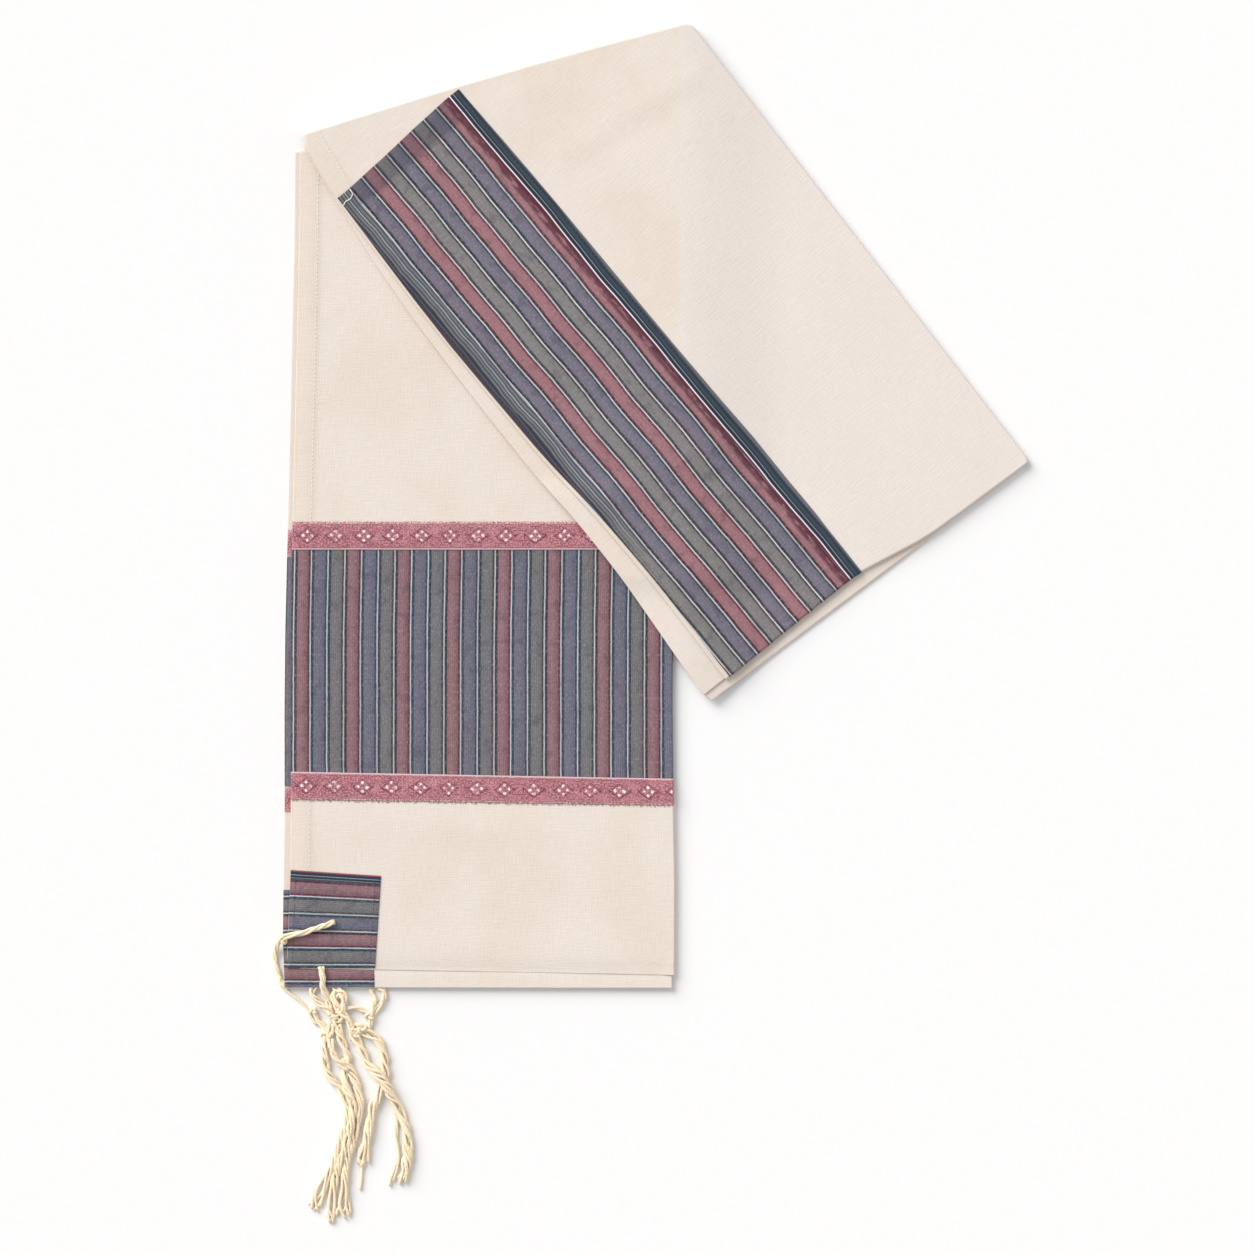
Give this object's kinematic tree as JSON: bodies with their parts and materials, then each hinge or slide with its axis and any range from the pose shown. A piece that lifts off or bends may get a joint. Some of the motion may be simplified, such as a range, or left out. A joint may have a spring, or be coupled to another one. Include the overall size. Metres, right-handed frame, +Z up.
{
  "type": "tallit prayer shawl",
  "caption": "Light cream cotton prayer shawl folded flat, with a striped band between pink jacquard ribbons, a striped neckband, striped corner patches and knotted tzitzit.",
  "frame": {"origin": "middle of the whole outline, fringes included, on the surface the folded shawl rests on", "axes": "+Z up from the surface, +Y up the lower stretch away from its fringed end, +X to the right as seen from above"},
  "size_m": [0.4494, 0.7139, 0.0115],
  "materials": {
    "cream_cotton": "matte",
    "striped_cloth": "matte",
    "pink_ribbon": "satin",
    "cord_cotton": "matte"
  },
  "bodies": {
    "root": {"lower_stack": "cream_cotton", "upper_stack": "cream_cotton", "front_leaf": "cream_cotton", "front_end": "cream_cotton", "top_leaf": "cream_cotton", "front_band": "striped_cloth", "under_band": "striped_cloth", "front_patch": "striped_cloth", "under_patch": "striped_cloth", "neckband": "striped_cloth", "front_ribbon_upper": "pink_ribbon", "front_ribbon_lower": "pink_ribbon", "under_ribbon_upper": "pink_ribbon", "under_ribbon_lower": "pink_ribbon", "tzitzit_front_left": "cord_cotton", "tzitzit_second_left": "cord_cotton", "tzitzit_third_left": "cord_cotton", "tzitzit_fourth_left": "cord_cotton"}
  },
  "joints": []
}
